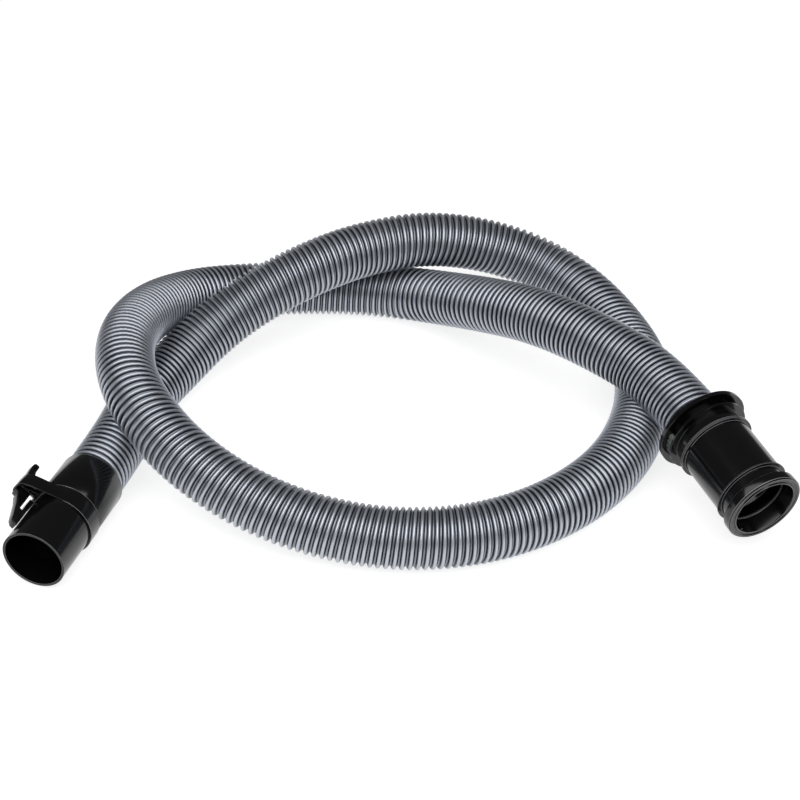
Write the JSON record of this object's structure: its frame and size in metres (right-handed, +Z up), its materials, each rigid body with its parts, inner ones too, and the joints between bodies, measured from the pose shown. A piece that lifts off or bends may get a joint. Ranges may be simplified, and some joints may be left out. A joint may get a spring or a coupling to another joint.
{
  "type": "vacuum hose",
  "caption": "Ribbed flexible vacuum hose lying in a loop, with a latching wand cuff at one end and a swivelling machine connector at the other.",
  "frame": {"origin": "on the floor, midway between the wand cuff and the machine connector, which is the bottom centre of the fittings' box", "axes": "+Z up, +X from the wand cuff towards the machine connector, +Y to the back of the loop"},
  "size_m": [0.495, 0.3435, 0.0836],
  "materials": {
    "hose": "silver grey ribbed flexible plastic, satin gloss",
    "black_plastic": "moulded black, gloss",
    "grey_plastic": "moulded dark grey, satin",
    "natural_plastic": "natural plastic, hidden",
    "steel": "plain steel"
  },
  "bodies": {
    "hose": {"hose_tube": "hose", "wand_cuff": "black_plastic", "cuff_inner_sleeve": "natural_plastic", "latch_collar": "black_plastic", "latch_pin": "steel", "latch_spring": "steel", "hose_end_ring": "natural_plastic"},
    "latch": {"latch_lever": "black_plastic"},
    "connector": {"connector_body": "black_plastic", "rear_flange": "black_plastic", "retaining_ring": "natural_plastic"},
    "tab_left": {"release_tab_left": "grey_plastic"},
    "tab_right": {"release_tab_right": "grey_plastic"}
  },
  "joints": [
    {"name": "latch_press", "type": "hinge", "parent": "hose", "child": "latch", "pos_m": [-0.23713, -0.00603, 0.04195], "axis": [0.6219, -0.2088, 0.7547], "range_deg": [-10, 0], "stiffness_Nm_per_rad": 0.06, "springref_deg": 6.88},
    {"name": "connector_swivel", "type": "hinge", "parent": "hose", "child": "connector", "pos_m": [0.19146, 0.04343, 0.05275], "axis": [-0.4246, 0.8918, 0.1564], "continuous": true},
    {"name": "tab_left_press", "type": "slide", "parent": "connector", "child": "tab_left", "axis": [0.9052, 0.4219, 0.0517], "range_m": [0, 0.0015], "stiffness_N_per_m": 600, "springref_m": -0.001},
    {"name": "tab_right_press", "type": "slide", "parent": "connector", "child": "tab_right", "axis": [-0.9052, -0.4219, -0.0517], "range_m": [0, 0.0015], "stiffness_N_per_m": 600, "springref_m": -0.001}
  ]
}
